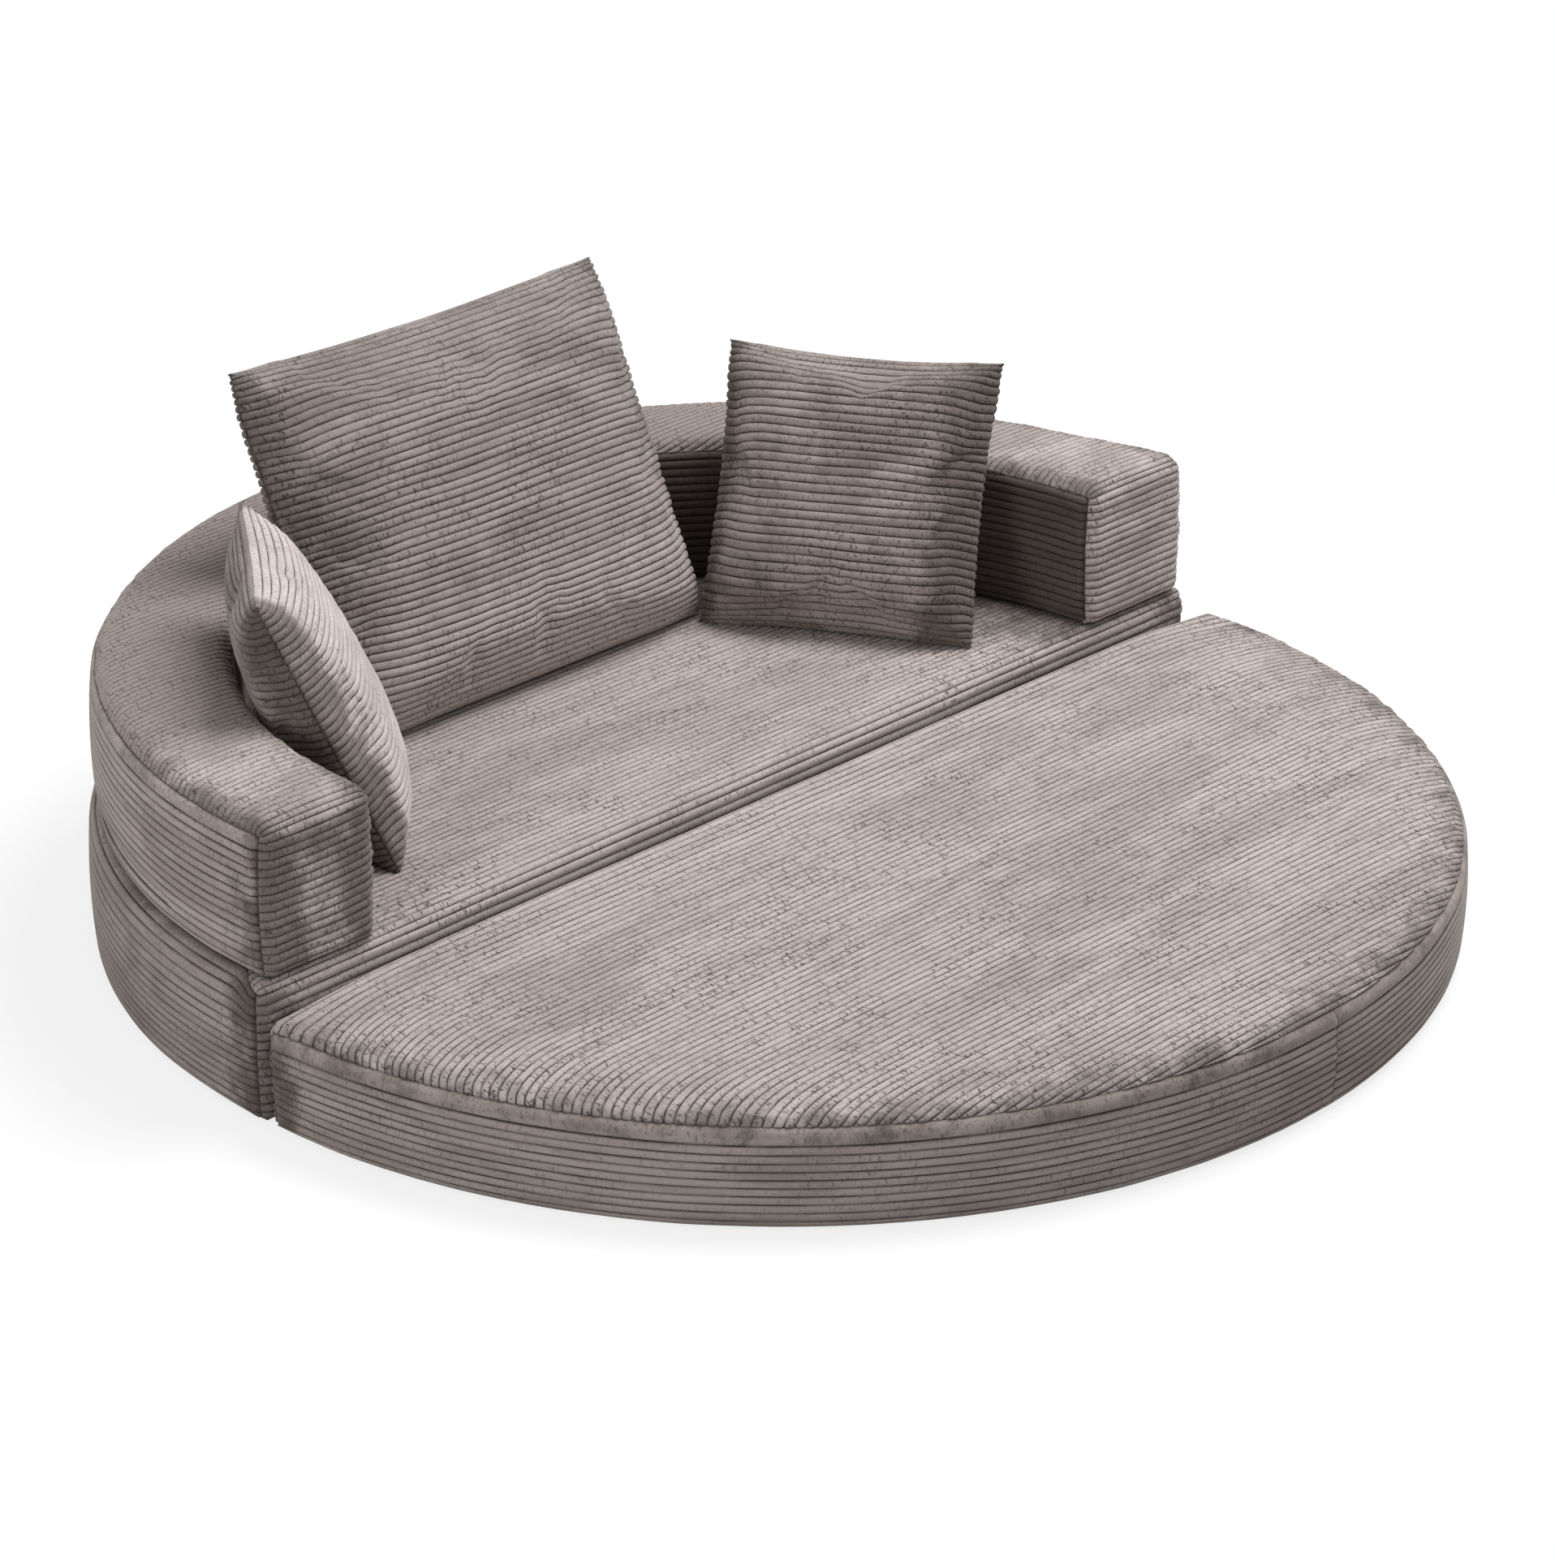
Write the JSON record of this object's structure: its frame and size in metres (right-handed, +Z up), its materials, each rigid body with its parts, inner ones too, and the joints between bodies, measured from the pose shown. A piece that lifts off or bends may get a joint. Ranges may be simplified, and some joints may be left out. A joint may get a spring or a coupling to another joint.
{
  "type": "foam sofa bed",
  "caption": "Round frameless foam sofa bed in wide-wale corduroy: base with C-shaped backrest, loose half-moon front section, back cushion and throw pillows.",
  "frame": {"origin": "middle of the footprint on the floor: halfway between the outer sides of the front section across, and halfway between the front edge of the front section and the back of the base", "axes": "+X across the sofa to the sitter's left (to the right seen from the front), +Y to the back, +Z up; the split between the two sections runs along X"},
  "size_m": [2.172, 2.1708, 0.8361],
  "materials": {
    "corduroy": "wide-wale plush corduroy, warm grey taupe",
    "foam": "open-cell foam",
    "wadding": "white fibre wadding",
    "fibre_fill": "white fibre fill in a liner",
    "base_cloth": "dark non-slip cloth",
    "zip_tape": "woven zip tape with a coil",
    "zip_slider": "painted zinc zip slider"
  },
  "bodies": {
    "rear_section": {"base_foam_core": "foam", "base_wadding": "wadding", "seat_top_panel": "corduroy", "base_side_band": "corduroy", "base_bottom_cloth": "base_cloth", "base_zip_tape": "zip_tape", "backrest_foam_core": "foam", "backrest_wadding": "wadding", "backrest_top_panel": "corduroy", "backrest_outer_band": "corduroy", "backrest_inner_band": "corduroy", "backrest_underside_cloth": "base_cloth", "backrest_zip_tape": "zip_tape"},
    "front_section": {"front_foam_core": "foam", "front_wadding": "wadding", "front_top_panel": "corduroy", "front_side_band": "corduroy", "front_bottom_cloth": "base_cloth", "front_zip_tape": "zip_tape"},
    "back_cushion": {"back_cushion_fill": "fibre_fill", "back_cushion_front_panel": "corduroy", "back_cushion_rear_panel": "corduroy", "back_cushion_zip_tape": "zip_tape"},
    "left_pillow": {"left_pillow_fill": "fibre_fill", "left_pillow_front_panel": "corduroy", "left_pillow_rear_panel": "corduroy", "left_pillow_zip_tape": "zip_tape"},
    "right_pillow": {"right_pillow_fill": "fibre_fill", "right_pillow_front_panel": "corduroy", "right_pillow_rear_panel": "corduroy", "right_pillow_zip_tape": "zip_tape"},
    "base_zip_slider": {"base_zip_slider": "zip_slider"},
    "backrest_zip_slider": {"backrest_zip_slider": "zip_slider"},
    "front_zip_slider": {"front_zip_slider": "zip_slider"},
    "back_cushion_zip_slider": {"back_cushion_zip_slider": "zip_slider"},
    "left_pillow_zip_slider": {"left_pillow_zip_slider": "zip_slider"},
    "right_pillow_zip_slider": {"right_pillow_zip_slider": "zip_slider"}
  },
  "joints": [
    {"name": "front_section_slide", "type": "slide", "parent": "rear_section", "child": "front_section", "axis": [0, -1, 0], "range_m": [0, 0.6]},
    {"name": "back_cushion_lift", "type": "slide", "parent": "rear_section", "child": "back_cushion", "axis": [0, 0, 1], "range_m": [0, 0.5]},
    {"name": "left_pillow_lift", "type": "slide", "parent": "rear_section", "child": "left_pillow", "axis": [0, 0, 1], "range_m": [0, 0.5]},
    {"name": "right_pillow_lift", "type": "slide", "parent": "rear_section", "child": "right_pillow", "axis": [0, 0, 1], "range_m": [0, 0.5]},
    {"name": "base_zip_slide", "type": "slide", "parent": "rear_section", "child": "base_zip_slider", "axis": [1, 0, 0], "range_m": [0, 1.46]},
    {"name": "backrest_zip_turn", "type": "hinge", "parent": "rear_section", "child": "backrest_zip_slider", "pos_m": [-0.036, 0.0355, 0.266], "axis": [0, 0, 1], "range_deg": [0, 148]},
    {"name": "front_zip_slide", "type": "slide", "parent": "front_section", "child": "front_zip_slider", "axis": [-1, 0, 0], "range_m": [0, 1.46]},
    {"name": "back_cushion_zip_slide", "type": "slide", "parent": "back_cushion", "child": "back_cushion_zip_slider", "axis": [1, 0, 0], "range_m": [0, 0.53]},
    {"name": "left_pillow_zip_slide", "type": "slide", "parent": "left_pillow", "child": "left_pillow_zip_slider", "axis": [0.6157, 0.788, 0], "range_m": [0, 0.29]},
    {"name": "right_pillow_zip_slide", "type": "slide", "parent": "right_pillow", "child": "right_pillow_zip_slider", "axis": [0.4848, -0.8746, 0], "range_m": [0, 0.29]}
  ]
}
